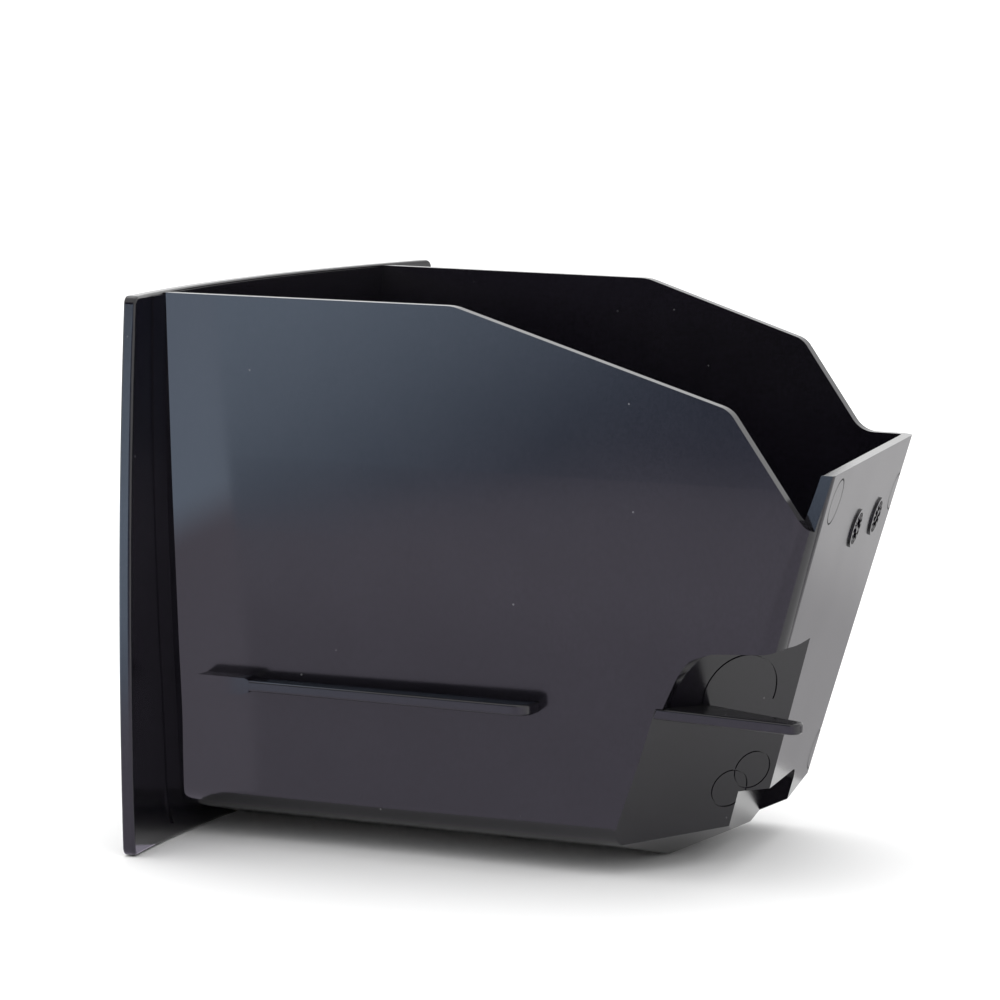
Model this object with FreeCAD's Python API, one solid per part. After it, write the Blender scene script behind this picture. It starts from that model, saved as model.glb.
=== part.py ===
import FreeCAD, Part
import math
import os

V = FreeCAD.Vector

# ---------------------------------------------------------------- driving dimensions (mm)
PLATE_W = 127.3          # front plate, across
PLATE_H = 112.0          # front plate, height
PLATE_T = 2.8            # front plate, thickness
PLATE_BOW = 6.6          # plate middle stands forward of its side edges
PLATE_CROWN = 1.05       # plate mid-height stands forward of its top and bottom
PLATE_EDGE_ROUND = 0.5   # front edge rounding
PLATE_EDGE_CHAMFER = 0.6  # back edge bevel
PLATE_CORNER_R = 1.6     # corners of the plate seen from the front
WALL = 2.2               # tub wall
OVERHANG = 15.81         # plate stands out past each side wall at the top
CONVERGE = 0.0246        # side walls run together towards the rear (per mm)
DRAFT_UP = 0.0814        # side wall draft above the knee
DRAFT_LOW = 0.1064       # side wall draft below the knee
Z_KNEE = 72.0            # soft knee in the side wall
Z_CREASE = 24.5          # soft crease low on the side wall
Z_CORNER = 6.6           # bottom corner of the side wall
Y_KEEL = 53.8            # edge of the flat along the underside
R_CORNER = 5.0           # bottom corner radius
Z_TOP = 111.7            # level top of the side walls
Z_REAR = 82.4            # top of the rear wall
Z_VEE = 71.4             # low point of the -Y wall beside the rear wall
X_BEND1 = 60.9           # start of the falling part of the side wall top
FALL = 0.3014            # slope of the falling part
X_BEND2_NEAR = 118.6     # start of the steep part, -Y wall
X_BEND2_FAR = 97.6       # start of the steep part, +Y wall
REAR_X = 130.14          # rear wall outer face at y = 65, z = 80 of the working frame
REAR_SKEW = -0.1929      # rear wall, x per mm of y
REAR_SLANT = 0.2867      # rear wall, x per mm of z
R_REAR = 4.2             # upright corners between side and rear wall
X_RAMP = 91.5            # underside starts to rise towards the rear
RAMP = 0.466             # rise of the underside
Z_NOTCH = 15.5           # bottom edge of the rear wall over the notch
NOTCH_IN = 5.0           # depth of the notch under the rear wall
Y_NOTCH = 80.5           # end of the notch, +Y side
RAIL_TOP = 34.25         # top face of the guide rails
RAIL_T = 2.2             # rail thickness
RAIL_Y = 18.8            # rail outer edge
RAIL_EDGE = 0.45         # rounding along the outer edges of rails and ledge
RAIL_X0 = 13.6           # thin part of the rail starts
RAIL_X1 = 77.6           # rail rear end
HEAD_X0 = 1.0            # thick rail head starts
HEAD_UP = 0.4            # head stands above the rail
HEAD_DN = 0.9            # head stands below the rail
LEDGE_TOP = 34.8         # top face of the ledge at its root
LEDGE_TILT = 1.5         # ledge falls towards its tip (degrees)
LEDGE_NOSE_X = 131.4     # rear tip of the ledge
LEDGE_Y = 25.7           # outer edge of the ledge
RING = 0.25              # depth of the round moulding marks
PIN_A = (34.5, 76.4)     # moulding marks on the rear wall (y, z)
PIN_B = (101.0, 70.8)
PIN_C = (96.6, 16.6)
PIN_D = (112.8, 36.6)    # moulding marks on the cut-away corner (x, z)
PIN_E = (111.9, 20.0)
PIN_F = (108.4, 16.4)

# planes of the cut-away rear corner (normal, point), working frame
CH_N = V(0.7918, -0.5206, -0.3195)
CH_P = V(106.04, 40.69, 20.58)
# lower edge of the side wall over the cut-away corner (x, z) and its roundings
LIP = [(103.3, 34.8), (106.5, 41.2), (109.0, 44.7), (113.8, 46.5), (125.6, 47.2), (131.6, 49.9), (150.0, 58.2)]
LIP_R = [0, 5.0, 5.0, 8.0, 8.0, 0, 0]

X0 = -40.0
LX = 240.0


# ---------------------------------------------------------------- helpers
def half(n, p, size=400.0):
    """Block filling the side of a plane its normal points to."""
    b = Part.makeBox(size, size, size, V(-size / 2, -size / 2, 0))
    b.Placement = FreeCAD.Placement(p, FreeCAD.Rotation(V(0, 0, 1), n))
    return b


def offset_chain(pts, w):
    """Open chain of 2-D points moved by w to its left."""
    segs = []
    for (ax, ay), (bx, by) in zip(pts[:-1], pts[1:]):
        dx, dy = bx - ax, by - ay
        ln = math.hypot(dx, dy)
        nx, ny = -dy / ln, dx / ln
        segs.append(((ax + nx * w, ay + ny * w), (bx + nx * w, by + ny * w)))
    out = [segs[0][0]]
    for (p, q), (r, s) in zip(segs[:-1], segs[1:]):
        d1 = (q[0] - p[0], q[1] - p[1])
        d2 = (s[0] - r[0], s[1] - r[1])
        den = d1[0] * d2[1] - d1[1] * d2[0]
        t = ((r[0] - p[0]) * d2[1] - (r[1] - p[1]) * d2[0]) / den
        out.append((p[0] + d1[0] * t, p[1] + d1[1] * t))
    out.append(segs[-1][1])
    return out


def rounded(pts, radii, to3d):
    """Closed face from a 2-D polygon with rounded corners."""
    n = len(pts)
    arcs = []
    for i in range(n):
        a, b, c = pts[i - 1], pts[i], pts[(i + 1) % n]
        r = radii[i]
        if r <= 0:
            arcs.append((b, None, b))
            continue
        u = (a[0] - b[0], a[1] - b[1])
        v = (c[0] - b[0], c[1] - b[1])
        lu, lv = math.hypot(*u), math.hypot(*v)
        u = (u[0] / lu, u[1] / lu)
        v = (v[0] / lv, v[1] / lv)
        ang = math.acos(max(-1, min(1, u[0] * v[0] + u[1] * v[1])))
        t = r / math.tan(ang / 2)
        p = (b[0] + u[0] * t, b[1] + u[1] * t)
        q = (b[0] + v[0] * t, b[1] + v[1] * t)
        k = (u[0] + v[0], u[1] + v[1])
        lk = math.hypot(*k)
        dist = r / math.sin(ang / 2) - r
        m = (b[0] + k[0] / lk * dist, b[1] + k[1] / lk * dist)
        arcs.append((p, m, q))
    edges = []
    for i in range(n):
        p, m, q = arcs[i]
        if m is not None:
            edges.append(Part.Arc(to3d(p), to3d(m), to3d(q)).toShape())
        nxt = arcs[(i + 1) % n][0]
        if math.hypot(nxt[0] - q[0], nxt[1] - q[1]) > 1e-6:
            edges.append(Part.makeLine(to3d(q), to3d(nxt)))
    return Part.Face(Part.Wire(edges))


def side_prism(w, far):
    """Everything inboard of one side wall, moved inwards by w."""
    yk = OVERHANG + (PLATE_H - Z_KNEE) * DRAFT_UP
    yc = yk + (Z_KNEE - Z_CREASE) * DRAFT_LOW
    chain = [(OVERHANG - 13.0 * DRAFT_UP, PLATE_H + 13.0), (yk, Z_KNEE), (yc, Z_CREASE),
             (yc + 1.08, Z_CORNER), (Y_KEEL, 0.0), (200.0, 0.0)]
    rad = [0, 600.0 - w, 200.0 + w, max(R_CORNER - w, 1.0), 15.0, 0]
    if w:
        chain = offset_chain(chain, w)
    chain = chain + [(200.0, PLATE_H + 13.0)]
    rad = rad + [0]
    chain[0] = (chain[0][0], PLATE_H + 13.0)
    if far:
        def to3d(p):
            return V(X0, PLATE_W - p[0] - CONVERGE * X0, p[1])
        vec = V(LX, -CONVERGE * LX, 0)
    else:
        def to3d(p):
            return V(X0, p[0] + CONVERGE * X0, p[1])
        vec = V(LX, CONVERGE * LX, 0)
    return rounded(chain, rad, to3d).extrude(vec)


REAR_N = V(1.0, -REAR_SKEW, -REAR_SLANT)
REAR_LEN = REAR_N.Length
REAR_N.normalize()


def rear_point(y, z):
    return V(REAR_X + REAR_SKEW * (y - 65.0) + REAR_SLANT * (z - 80.0), y, z)


def xz_prism(pts, y0, y1, radii=None):
    return rounded(pts, radii or [0] * len(pts), lambda p: V(p[0], y0, p[1])).extrude(V(0, y1 - y0, 0))


def rear_edges(shape, w):
    """Edges round the rear wall's outline, apart from its level top."""
    out = []
    for e in shape.Edges:
        pts = [q.Point for q in e.Vertexes]
        if all(abs((q - rear_point(65.0, 80.0)).dot(REAR_N) + w) < 0.02 for q in pts):
            if min(q.z for q in pts) < PLATE_H + 12.0:
                out.append(e)
    return out


def tub_block(w):
    """Solid envelope of the tub, moved inwards by w (0 is the outside)."""
    b = side_prism(w, False).common(side_prism(w, True))
    b = b.cut(half(REAR_N, rear_point(65.0, 80.0) - REAR_N * w))
    b = b.makeFillet(max(R_REAR - w, 1.5), rear_edges(b, w))
    # underside rising to the rear
    for k in (0.0, -1.0, 1.0):
        tilt = Z_CORNER / (Y_KEEL - 25.23)
        n = V(RAMP, k * tilt, -1.0)
        y = Y_KEEL if k < 0 else (PLATE_W - Y_KEEL if k > 0 else 63.6)
        p = V(X_RAMP, y, 0)
        n.normalize()
        b = b.cut(half(n, p - n * w))
    return b


def corner_cuts(w):
    """Material taken off the rear corner on the -Y side, grown by w."""
    low = Part.makeBox(300, 110, 200 + LEDGE_TOP, V(60, -40, -200))
    lip = offset_chain(LIP, w) if w else LIP
    lip = [(lip[0][0], LEDGE_TOP - 1.0)] + lip[1:] if w else [(LIP[0][0], LEDGE_TOP - 1.0)] + LIP
    rad = LIP_R if w else [0] + LIP_R
    prof = [(200.0, LEDGE_TOP - 1.0)] + lip + [(200.0, lip[-1][1])]
    over = xz_prism(prof, -40.0, 80.0, [0] + [max(r - 0.5, 0) if r else 0 for r in rad] + [0])
    plane = half(CH_N, CH_P - CH_N * w)
    return [plane.common(low), plane.common(over)]


def notch_cut(w):
    """Notch under the rear wall, grown by w."""
    blk = half(REAR_N, rear_point(65.0, 80.0) - REAR_N * (NOTCH_IN + w))
    r = 3.0
    y1, z1 = Y_NOTCH + w, Z_NOTCH + w
    prof = rounded([(20.0, -20.0), (y1, -20.0), (y1, z1), (20.0, z1)], [0, 0, r, 0],
                   lambda p: V(60.0, p[0], p[1])).extrude(V(140, 0, 0))
    return blk.common(prof)


def plan_section(z, front, back):
    """Plate slice at height z between two offsets from its back face."""
    v = 2.0 * z / PLATE_H - 1.0
    crown = PLATE_CROWN * (1.0 - v * v)
    y1 = PLATE_W

    def pt(y, off):
        s = 2.0 * y / PLATE_W - 1.0
        return V(-PLATE_BOW * (1.0 - s * s) - crown + off, y, z)
    if front is None:
        e = [Part.Arc(pt(0, back), pt(y1 / 2, back), pt(y1, back)).toShape(),
             Part.makeLine(pt(y1, back), V(-80, y1, z)), Part.makeLine(V(-80, y1, z), V(-80, 0, z)),
             Part.makeLine(V(-80, 0, z), pt(0, back))]
    else:
        e = [Part.Arc(pt(0, back), pt(y1 / 2, back), pt(y1, back)).toShape(),
             Part.makeLine(pt(y1, back), pt(y1, front)),
             Part.Arc(pt(y1, front), pt(y1 / 2, front), pt(0, front)).toShape(),
             Part.makeLine(pt(0, front), pt(0, back))]
    return Part.Wire(e)


def plate_solid(front, back, z0=0.0, z1=PLATE_H, n=5):
    zs = [z0 + (z1 - z0) * i / (n - 1) for i in range(n)]
    return Part.makeLoft([plan_section(z, front, back) for z in zs], True, False)


# ---------------------------------------------------------------- front plate
plate = plate_solid(-PLATE_T, 0.0)
outline = rounded([(0, 0), (PLATE_W, 0), (PLATE_W, PLATE_H), (0, PLATE_H)], [PLATE_CORNER_R] * 4,
                  lambda p: V(-30, p[0], p[1])).extrude(V(60, 0, 0))
plate = plate.common(outline)


def perimeter(shape, off):
    out = []
    for e in shape.Edges:
        m = e.valueAt((e.FirstParameter + e.LastParameter) / 2)
        s = 2.0 * m.y / PLATE_W - 1.0
        v = 2.0 * m.z / PLATE_H - 1.0
        x = -PLATE_BOW * (1 - s * s) - PLATE_CROWN * (1 - v * v) + off
        ends = [vt.Point for vt in e.Vertexes]
        flat = all(abs(q.x - (-PLATE_BOW * (1 - (2 * q.y / PLATE_W - 1) ** 2)
                              - PLATE_CROWN * (1 - (2 * q.z / PLATE_H - 1) ** 2) + off)) < 0.25 for q in ends)
        if flat and abs(m.x - x) < 0.25:
            out.append(e)
    return out


plate = plate.makeFillet(PLATE_EDGE_ROUND, perimeter(plate, -PLATE_T))
plate = plate.makeFillet(PLATE_EDGE_CHAMFER, perimeter(plate, 0.0))

# low pad on the back of the plate around the tub
pad = plate_solid(-1.0, 0.4).common(side_prism(-6.6, False)).common(side_prism(-6.6, True))
pad = pad.common(Part.makeBox(200, 300, 108.4, V(-100, -50, 3.0)))

# ---------------------------------------------------------------- tub
outer = tub_block(0.0)
for c in corner_cuts(0.0):
    outer = outer.cut(c)
outer = outer.cut(notch_cut(0.0))

# ledge running back along the cut-away corner
ledge = rounded([(96.0, LEDGE_Y + 0.1), (LEDGE_NOSE_X, LEDGE_Y + 0.4), (LEDGE_NOSE_X, LEDGE_Y + 4.2),
                 (101.6, 38.4), (96.0, 38.4)], [0, 2.0, 1.6, 0, 0],
                lambda p: V(p[0], p[1], LEDGE_TOP - RAIL_T)).extrude(V(0, 0, RAIL_T))


def soften(shape, r, keep):
    """Round the level edges of a thin fin that pass the test."""
    edges = []
    for e in shape.Edges:
        a, b = e.Vertexes[0].Point, e.Vertexes[-1].Point
        if abs(a.z - b.z) < 0.01 and keep(e.valueAt((e.FirstParameter + e.LastParameter) / 2)):
            edges.append(e)
    return shape.makeFillet(r, edges)


ledge = soften(ledge, RAIL_EDGE, lambda q: q.x > 97.0 and q.y < 38.0)
ledge.rotate(V(102.0, 0, LEDGE_TOP), V(0, 1, 0), LEDGE_TILT)

# guide rails on both sides
head = xz_prism([(HEAD_X0, RAIL_TOP + HEAD_UP), (RAIL_X0 + 0.6, RAIL_TOP + HEAD_UP),
                 (RAIL_X0 + 1.6, RAIL_TOP), (RAIL_X0 + 1.6, RAIL_TOP - RAIL_T - 0.2),
                 (RAIL_X0 - 0.4, RAIL_TOP - RAIL_T - HEAD_DN), (HEAD_X0 + 3.0, RAIL_TOP - RAIL_T - HEAD_DN)],
                RAIL_Y, 30.0, [1.2, 0.4, 0.4, 0.4, 0.4, 0.6])
rail = rounded([(RAIL_X0, RAIL_Y), (RAIL_X1, RAIL_Y), (RAIL_X1 - 1.0, 30.0), (RAIL_X0, 30.0)],
               [0, 3.2, 0, 0], lambda p: V(p[0], p[1], RAIL_TOP - RAIL_T)).extrude(V(0, 0, RAIL_T))
rail = soften(rail, RAIL_EDGE, lambda q: q.y < RAIL_Y + 0.2 or (q.x > RAIL_X1 - 3.4 and q.y < 29.0))
rails = head.fuse(rail)
rails_far = rails.mirror(V(0, PLATE_W / 2, 0), V(0, 1, 0))

# ---------------------------------------------------------------- cavity
inner = tub_block(WALL)
for c in corner_cuts(WALL):
    inner = inner.cut(c)
inner = inner.cut(notch_cut(WALL))
inner = inner.cut(plate_solid(None, 0.0, -30.0, PLATE_H + 30.0, 7))

body = outer.cut(plate_solid(None, -1.0, -30.0, PLATE_H + 30.0, 7))
body = body.fuse([rails, rails_far, ledge])
body = body.cut(inner)

# ---------------------------------------------------------------- top outline of the walls
xa, za = X_BEND1, Z_TOP
XE = 175.0


def over(xb, steep, zv, y0, y1, flat=None):
    zb = za - FALL * (xb - xa)
    xv = xb + (zb - zv) / steep
    pts = [(-60.0, za), (xa, za), (xb, zb), (xv, zv), (XE, zv), (XE, 200.0), (-60.0, 200.0)]
    return xz_prism(pts, y0, y1, [0, 9.0, 5.0, 3.0 if flat is None else flat, 0, 0, 0])


y_in_near = OVERHANG + (PLATE_H - Z_VEE) * DRAFT_UP + CONVERGE * 136.0 + WALL
body = body.cut(over(X_BEND2_NEAR, 1.47, Z_VEE, -30.0, y_in_near + 0.2))
body = body.cut(over(X_BEND2_FAR, 1.30, Z_REAR, PLATE_W / 2, 200.0, 6.0))
body = body.cut(xz_prism([(40.0, 112.5), (100.0, Z_REAR), (XE, Z_REAR), (XE, 200.0), (40.0, 200.0)],
                         y_in_near + 0.19, PLATE_W / 2 + 0.01))
body = body.cut(Part.makeBox(300, 300, 60, V(-60, -60, Z_TOP)))

tub = body.fuse([plate, pad]).removeSplitter()


# ---------------------------------------------------------------- round moulding marks
def ring(p, n, r, width=0.35, depth=RING):
    """Shallow circular groove around p in the plane with normal n."""
    n = V(n.x, n.y, n.z)
    n.normalize()
    q = p - n * depth
    return Part.makeCylinder(r, depth + 1.0, q, n).cut(Part.makeCylinder(r - width, depth + 2.0, q - n * 0.5, n))


def on_plane(n, p, x, z):
    d = n.dot(p)
    return V(x, (d - n.x * x - n.z * z) / n.y, z)


marks = [ring(rear_point(*PIN_A), REAR_N, 4.7), ring(rear_point(*PIN_B), REAR_N, 4.0),
         ring(rear_point(*PIN_C), REAR_N, 4.5)]
marks.append(ring(on_plane(CH_N, CH_P, *PIN_D), CH_N, 8.6).common(
    Part.makeBox(60, 80, 13.0, V(95, 0, LEDGE_TOP + 0.02))))
marks.append(ring(on_plane(CH_N, CH_P, *PIN_E), CH_N, 4.2, 0.3))
marks.append(ring(on_plane(CH_N, CH_P, *PIN_F), CH_N, 4.2, 0.3))
marks.append(ring(V(-0.15, 2.8, 107.7), V(1, 0, 0), 1.5, 0.3))
for m in marks:
    tub = tub.cut(m)


# two mould date dials with plain ticks, raised on the rear wall
def dial(y, z, turn):
    c = rear_point(y, z)
    h = 0.45
    parts = [Part.makeCylinder(4.0, h, V(0, 0, 0)).cut(Part.makeCylinder(3.3, h, V(0, 0, 0)))]
    for i in range(12):
        a = math.radians(30.0 * i)
        t = Part.makeBox(0.9, 0.5, h, V(2.15, -0.25, 0))
        t.rotate(V(0, 0, 0), V(0, 0, 1), math.degrees(a))
        parts.append(t)
    stem = Part.makeBox(2.6, 0.5, h, V(-1.3, -0.25, 0))
    tip = Part.Face(Part.makePolygon([V(1.9, 0, 0), V(0.7, 0.8, 0), V(0.7, -0.8, 0), V(1.9, 0, 0)])).extrude(V(0, 0, h))
    arrow = stem.fuse(tip)
    arrow.rotate(V(0, 0, 0), V(0, 0, 1), turn)
    parts.append(arrow)
    out = []
    for s in parts:
        s = s.copy()
        s.translate(V(0, 0, -0.05))
        s.Placement = FreeCAD.Placement(c, FreeCAD.Rotation(V(0, 0, 1), REAR_N)).multiply(s.Placement)
        out.append(s)
    return out


tub = tub.fuse(dial(65.8, 67.4, 70.0) + dial(86.0, 67.4, 160.0))
tub = tub.removeSplitter()
if tub.ShapeType == "Compound" and len(tub.Solids) == 1:
    tub = tub.Solids[0]

# ---------------------------------------------------------------- origin: middle of the footprint, on the resting plane
bb = tub.optimalBoundingBox(True, False)
SHIFT = V(-(bb.XMin + bb.XMax) / 2, -PLATE_W / 2, -bb.ZMin)
tub.translate(SHIFT)

os.makedirs("parts", exist_ok=True)
tub.exportStep("parts/grounds_container.step")
print("solids", len(tub.Solids), "valid", tub.isValid(), "closed", tub.isClosed() if hasattr(tub, "isClosed") else "",
      "volume cm3", round(tub.Volume / 1000.0, 2), "shift", SHIFT, "bb", bb)
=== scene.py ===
import math
import random

import bpy
from mathutils import Matrix, Vector

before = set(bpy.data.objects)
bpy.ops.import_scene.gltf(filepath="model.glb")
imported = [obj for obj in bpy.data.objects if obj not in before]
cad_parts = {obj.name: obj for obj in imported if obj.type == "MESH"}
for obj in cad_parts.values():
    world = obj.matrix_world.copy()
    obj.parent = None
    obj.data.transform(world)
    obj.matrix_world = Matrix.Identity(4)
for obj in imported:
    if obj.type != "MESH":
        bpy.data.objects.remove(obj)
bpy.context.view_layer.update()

scene = bpy.context.scene
scene.view_settings.view_transform = "Standard"
scene.view_settings.look = "None"
scene.view_settings.exposure = 0.0
scene.view_settings.gamma = 1.0

# ------------------------------------------------------------------ camera
F_PX, YAW, PITCH, ROLL = 4705.6, 0.461, 0.1198, 0.0109
CAM = Vector((475.04 - 63.948, -794.52 - 63.65, 183.61)) / 1000.0
fwd = Vector((-math.sin(YAW) * math.cos(PITCH), math.cos(YAW) * math.cos(PITCH), -math.sin(PITCH)))
rt = Vector((math.cos(YAW), math.sin(YAW), 0.0))
up = rt.cross(fwd)
r2 = math.cos(ROLL) * rt + math.sin(ROLL) * up
u2 = -math.sin(ROLL) * rt + math.cos(ROLL) * up
cam = bpy.data.objects.new("camera", bpy.data.cameras.new("camera"))
cam.data.sensor_width = 36.0
cam.data.lens = F_PX * 36.0 / 1000.0
cam.data.clip_start, cam.data.clip_end = 0.05, 200.0
m = Matrix((r2, u2, -fwd)).transposed().to_4x4()
m.translation = CAM
cam.matrix_world = m
scene.collection.objects.link(cam)
scene.camera = cam


# ------------------------------------------------------------------ node helpers
def material(name):
    mat = bpy.data.materials.new(name)
    mat.use_nodes = True
    nt = mat.node_tree
    return mat, nt, nt.nodes["Principled BSDF"], nt.nodes["Material Output"]


def add(nt, kind, **vals):
    n = nt.nodes.new(kind)
    for k, v in vals.items():
        if k in n.inputs:
            n.inputs[k].default_value = v
        else:
            setattr(n, k, v)
    return n


def ramp(nt, stops, src):
    n = nt.nodes.new("ShaderNodeValToRGB")
    while len(n.color_ramp.elements) < len(stops):
        n.color_ramp.elements.new(0.5)
    for e, (p, c) in zip(n.color_ramp.elements, stops):
        e.position = p
        e.color = (c, c, c, 1) if not hasattr(c, "__len__") else (*c, 1)
    nt.links.new(src, n.inputs["Fac"])
    return n.outputs["Color"]


# ------------------------------------------------------------------ moulded black plastic
def black_plastic():
    mat, nt, bsdf, out = material("tub_plastic_look")
    pos = nt.nodes.new("ShaderNodeTexCoord").outputs["Object"]

    def noise(scale, detail=3.0, rough=0.55):
        n = add(nt, "ShaderNodeTexNoise", Scale=scale, Detail=detail, Roughness=rough)
        nt.links.new(pos, n.inputs["Vector"])
        return n.outputs["Fac"]

    # base colour: near black, faint cloudy tone, small pale dust specks
    cloud = ramp(nt, [(0.35, (0.0042, 0.0035, 0.0058)), (0.65, (0.0058, 0.0050, 0.0078))], noise(55.0, 4.0))
    mott = ramp(nt, [(0.40, 0.55), (0.60, 1.35)], noise(1500.0, 2.0))
    base = add(nt, "ShaderNodeMix", data_type="RGBA", blend_type="MULTIPLY")
    base.inputs[0].default_value = 0.6
    nt.links.new(cloud, base.inputs[6])
    nt.links.new(mott, base.inputs[7])
    cells = add(nt, "ShaderNodeTexVoronoi", Scale=230.0)
    nt.links.new(pos, cells.inputs["Vector"])
    near = ramp(nt, [(0.0, 1.0), (0.035, 0.8), (0.055, 0.0)], cells.outputs["Distance"])
    sep = nt.nodes.new("ShaderNodeSeparateColor")
    nt.links.new(cells.outputs["Color"], sep.inputs[0])
    few = ramp(nt, [(0.80, 0.0), (0.83, 1.0)], sep.outputs[0])
    speck = add(nt, "ShaderNodeMath", operation="MULTIPLY")
    nt.links.new(near, speck.inputs[0])
    nt.links.new(few, speck.inputs[1])
    col = add(nt, "ShaderNodeMix", data_type="RGBA")
    nt.links.new(speck.outputs[0], col.inputs[0])
    nt.links.new(base.outputs[2], col.inputs[6])
    col.inputs[7].default_value = (0.13, 0.13, 0.135, 1)
    nt.links.new(col.outputs[2], bsdf.inputs["Base Color"])

    # roughness: glossy, with faint handling haze and duller specks
    haze = ramp(nt, [(0.3, 0.14), (0.7, 0.18)], noise(38.0, 5.0, 0.6))
    fine = ramp(nt, [(0.3, 0.92), (0.7, 1.10)], noise(2600.0, 2.0))
    rmul = add(nt, "ShaderNodeMath", operation="MULTIPLY")
    nt.links.new(haze, rmul.inputs[0])
    nt.links.new(fine, rmul.inputs[1])
    radd = add(nt, "ShaderNodeMath", operation="MULTIPLY_ADD")
    nt.links.new(speck.outputs[0], radd.inputs[0])
    radd.inputs[1].default_value = 0.4
    nt.links.new(rmul.outputs[0], radd.inputs[2])
    nt.links.new(radd.outputs[0], bsdf.inputs["Roughness"])
    bsdf.inputs["IOR"].default_value = 1.5

    # fine moulded grain and slow sink waviness
    grain = add(nt, "ShaderNodeBump", Strength=0.10, Distance=0.00004)
    nt.links.new(noise(1900.0, 3.0, 0.6), grain.inputs["Height"])
    wave = add(nt, "ShaderNodeBump", Strength=0.25, Distance=0.0002)
    nt.links.new(noise(24.0, 1.0, 0.4), wave.inputs["Height"])
    nt.links.new(grain.outputs["Normal"], wave.inputs["Normal"])
    nt.links.new(wave.outputs["Normal"], bsdf.inputs["Normal"])
    return mat


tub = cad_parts["grounds_container"]
plastic = black_plastic()
tub.data.materials.clear()
tub.data.materials.append(plastic)

# ------------------------------------------------------------------ floor, world, lights
mat, nt, bsdf, out = material("floor_look")
tex = nt.nodes.new("ShaderNodeTexCoord").outputs["Object"]
n = add(nt, "ShaderNodeTexNoise", Scale=6.0, Detail=2.0)
nt.links.new(tex, n.inputs["Vector"])
nt.links.new(ramp(nt, [(0.3, 0.94), (0.7, 0.96)], n.outputs["Fac"]), bsdf.inputs["Base Color"])
bsdf.inputs["Roughness"].default_value = 0.9
bsdf.inputs["Specular IOR Level"].default_value = 0.1
bpy.ops.mesh.primitive_plane_add(size=120.0, location=(0, 0, -0.0002))
floor = bpy.context.object
floor.name = "floor"
floor.data.materials.append(mat)

world = bpy.data.worlds.new("world")
scene.world = world
world.use_nodes = True
world.node_tree.nodes["Background"].inputs["Color"].default_value = (1.0, 1.0, 1.0, 1)
world.node_tree.nodes["Background"].inputs["Strength"].default_value = 1.25

sun = bpy.data.lights.new("soft_top", "SUN")
sun.energy, sun.angle = 1.0, math.radians(60.0)
so = bpy.data.objects.new("soft_top", sun)
so.rotation_mode = "QUATERNION"
so.rotation_quaternion = Vector((0.12, -0.35, -1.0)).to_track_quat("-Z", "Y")
scene.collection.objects.link(so)


def card(name, corners, build):
    """Glowing card seen only in the gloss of the plastic, not by the camera: it paints a reflection."""
    me = bpy.data.meshes.new(name)
    me.from_pydata([Vector(c) / 1000.0 - Vector((0.063948, 0.06365, 0.0)) for c in corners], [], [(0, 1, 2, 3)])
    o = bpy.data.objects.new(name, me)
    scene.collection.objects.link(o)
    mat = bpy.data.materials.new(name + "_look")
    mat.use_nodes = True
    nt = mat.node_tree
    nt.nodes.remove(nt.nodes["Principled BSDF"])
    co = nt.nodes.new("ShaderNodeTexCoord")
    sp = nt.nodes.new("ShaderNodeSeparateXYZ")
    nt.links.new(co.outputs["Object"], sp.inputs[0])
    em = nt.nodes.new("ShaderNodeEmission")
    build(nt, sp, em)
    back = nt.nodes.new("ShaderNodeNewGeometry")
    clear = nt.nodes.new("ShaderNodeBsdfTransparent")
    mix = nt.nodes.new("ShaderNodeMixShader")
    nt.links.new(back.outputs["Backfacing"], mix.inputs[0])
    nt.links.new(em.outputs[0], mix.inputs[1])
    nt.links.new(clear.outputs[0], mix.inputs[2])
    nt.links.new(mix.outputs[0], nt.nodes["Material Output"].inputs["Surface"])
    me.materials.append(mat)
    o.visible_camera = False
    o.visible_diffuse = False
    o.visible_transmission = False
    o.visible_volume_scatter = False
    o.visible_shadow = False
    return o


def op(nt, kind, a, b):
    n = add(nt, "ShaderNodeMath", operation=kind)
    for i, v in enumerate((a, b)):
        if isinstance(v, (int, float)):
            n.inputs[i].default_value = v
        else:
            nt.links.new(v, n.inputs[i])
    return n.outputs[0]


def step(nt, v, lo, hi):
    n = add(nt, "ShaderNodeMapRange", interpolation_type="SMOOTHSTEP")
    n.inputs["From Min"].default_value = lo
    n.inputs["From Max"].default_value = hi
    nt.links.new(v, n.inputs["Value"])
    return n.outputs["Result"]


def blend(nt, fac, c0, c1, em=None):
    n = add(nt, "ShaderNodeMix", data_type="RGBA")
    nt.links.new(fac, n.inputs[0])
    for i, c in ((6, c0), (7, c1)):
        if isinstance(c, tuple):
            n.inputs[i].default_value = (*c, 1)
        else:
            nt.links.new(c, n.inputs[i])
    return n.outputs[2]


# Emission colours of the front floor card: painted reflections in the plastic's gloss, bright bluish far left,
# dim far right, banded near zone
REFLECTED_NEAR = (1.20, 1.12, 1.36)
REFLECTED_FAR_L = (1.95, 2.42, 3.10)
REFLECTED_FAR_R = (0.24, 0.31, 0.50)


# Glowing card lying on the floor in front, seen only in gloss: paints the reflection gradient and bands on the
# side wall
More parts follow.
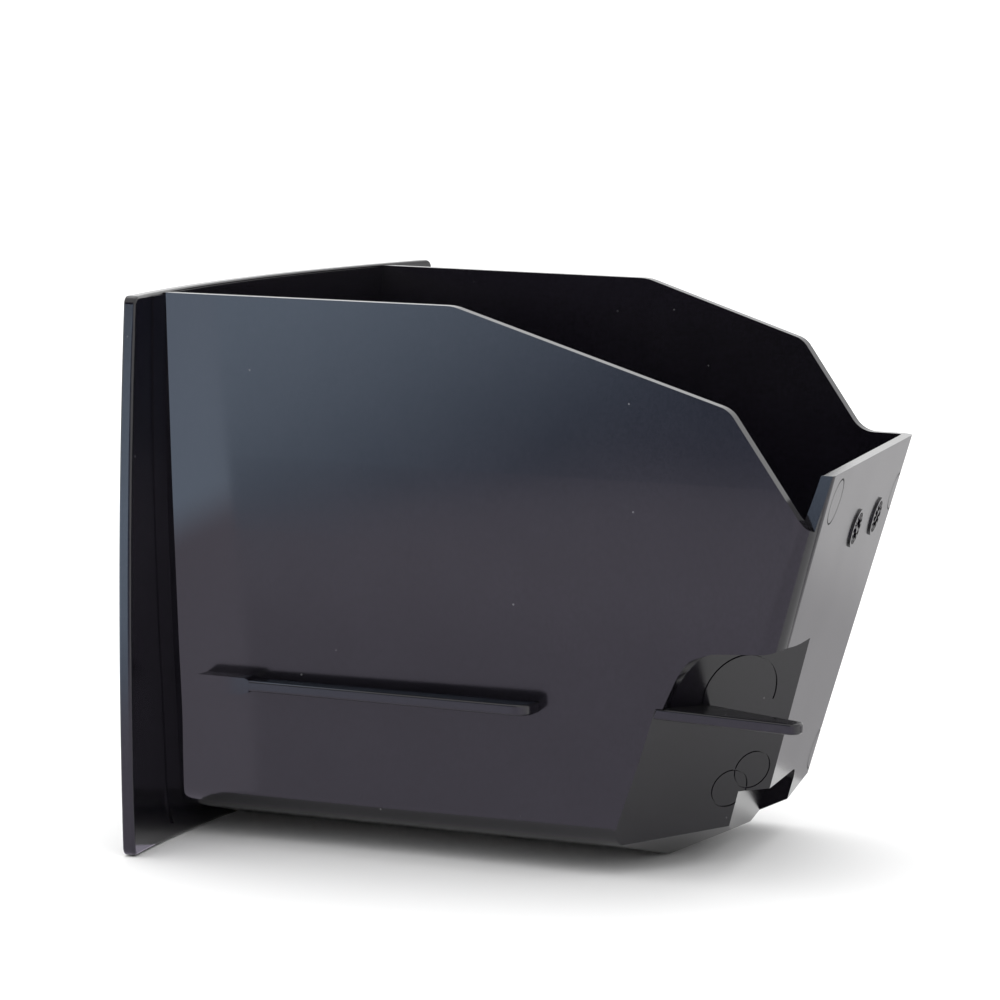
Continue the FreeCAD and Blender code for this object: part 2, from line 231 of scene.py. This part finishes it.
def floor_reflection_paint(nt, sp, em):
    x = op(nt, "ADD", sp.outputs["X"], 0.063948)
    y = op(nt, "ADD", sp.outputs["Y"], 0.06365)
    far_a = op(nt, "SUBTRACT", -0.250, y)
    far_b = op(nt, "SUBTRACT", -0.266, op(nt, "ADD", y, op(nt, "MULTIPLY", x, 1.06)))
    far = step(nt, op(nt, "MAXIMUM", far_a, far_b), -0.014, 0.012)
    lr = add(nt, "ShaderNodeMapRange")
    lr.inputs["From Min"].default_value = -0.185
    lr.inputs["From Max"].default_value = -0.032
    nt.links.new(x, lr.inputs["Value"])
    far_glow = blend(nt, lr.outputs["Result"], REFLECTED_FAR_L, REFLECTED_FAR_R)
    # the near zone: a dimmer band between two brighter ones, painted reflection bands seen on the side wall
    dim = step(nt, y, -0.118, -0.104)
    near = blend(nt, dim, REFLECTED_NEAR, (1.08, 1.00, 1.22))
    near = blend(nt, step(nt, y, -0.098, -0.084), near, (1.03, 0.96, 1.17))
    nt.links.new(blend(nt, far, near, far_glow), em.inputs["Color"])


# front card: painted reflections on the near side wall
card("front_reflection_card", [(-700, -1400, 0.3), (260, -1400, 0.3), (260, 12, 0.3), (-700, 12, 0.3)], floor_reflection_paint)


# Glowing card set against the plate back: paints a bright reflection on the side wall where the plate's dark
# mirror image would show, bluer above z 58-70 mm
def plate_reflection_paint(nt, sp, em):
    up_ = step(nt, sp.outputs["Z"], 0.058, 0.070)
    nt.links.new(blend(nt, up_, (1.28, 1.19, 1.44), (1.95, 2.35, 3.0)), em.inputs["Color"])


card("plate_reflection_card", [(0.5, 0.0, 1.0), (-3.4, 26.0, 1.0), (-2.5, 15.8, 112.0), (0.5, 0.0, 112.0)], plate_reflection_paint)


# Glowing card on the floor behind: paints a dimmed floor reflection on the rear wall, dimmer nearer the object
def rear_reflection_paint(nt, sp, em):
    y = op(nt, "ADD", sp.outputs["Y"], 0.06365)
    nt.links.new(blend(nt, step(nt, y, 0.27, 0.38), (0.60, 0.59, 0.605), (0.84, 0.83, 0.84)), em.inputs["Color"])


# Dark glowing sheet far in front, behind the camera: paints dark reflections in the plastic's gloss, standing in
# for shade
def dark_reflection_paint(nt, sp, em):
    em.inputs["Color"].default_value = (0.075, 0.068, 0.095, 1)


# dim card: painted dark reflections
card("dim_reflection_card", [(300, -1400, 0.0), (-1700, -1400, 0.0), (-1700, -1400, 700.0), (300, -1400, 700.0)], dark_reflection_paint)
# back card: painted dim reflection on the rear wall
card("back_reflection_card", [(-200, 130, 0.3), (300, 130, 0.3), (300, 800, 0.3), (-200, 800, 0.3)], rear_reflection_paint)
